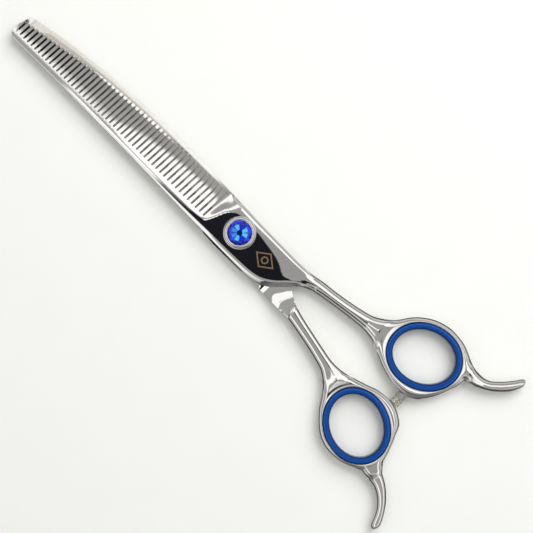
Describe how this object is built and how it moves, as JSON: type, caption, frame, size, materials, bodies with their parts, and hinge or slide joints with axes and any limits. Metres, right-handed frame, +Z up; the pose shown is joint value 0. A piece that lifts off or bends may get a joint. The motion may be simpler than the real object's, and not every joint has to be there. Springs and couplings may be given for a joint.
{
  "type": "thinning shears",
  "caption": "Thinning shears with a toothed blade over a plain curved blade, jewelled tension knob, offset handles, soft finger-ring inserts, finger rests and a bumper",
  "frame": {"origin": "centre of the pivot screw's flat back face, in the plane the shears rest on", "axes": "+Y runs along the closed blades to their tips, +X to the toothed side's finger ring, +Z up through the jewel along the pivot axis"},
  "size_m": [0.0707, 0.2042, 0.0082],
  "materials": {
    "polished_steel": "mirror-polished stainless steel",
    "screw_steel": "turned stainless steel",
    "nylon": "natural nylon",
    "knob_chrome": "bright chrome plate",
    "crystal_blue": "foil-backed cut crystal",
    "insert_blue": "glossy translucent soft plastic",
    "bumper_nickel": "knurled, warm nickel plate",
    "bumper_clear": "clear silicone rubber"
  },
  "bodies": {
    "plain_side": {"plain_blade": "polished_steel", "plain_handle": "polished_steel", "plain_ring_insert": "insert_blue", "pivot_screw": "screw_steel", "bumper_screw": "bumper_nickel", "bumper_pad": "bumper_clear"},
    "comb_side": {"comb_blade": "polished_steel", "comb_handle": "polished_steel", "comb_ring_insert": "insert_blue", "screw_bush": "nylon", "glide_washer": "nylon", "flat_washer": "screw_steel"},
    "knob": {"tension_knob": "knob_chrome", "crystal": "crystal_blue", "wave_spring": "screw_steel"}
  },
  "joints": [
    {"name": "blade_pivot", "type": "hinge", "parent": "plain_side", "child": "comb_side", "pos_m": [0, 0, 0], "axis": [0, 0, 1], "range_deg": [0, 100]},
    {"name": "knob_turn", "type": "hinge", "parent": "plain_side", "child": "knob", "pos_m": [0, 0, 0], "axis": [0, 0, 1], "range_deg": [-90, 180]}
  ]
}
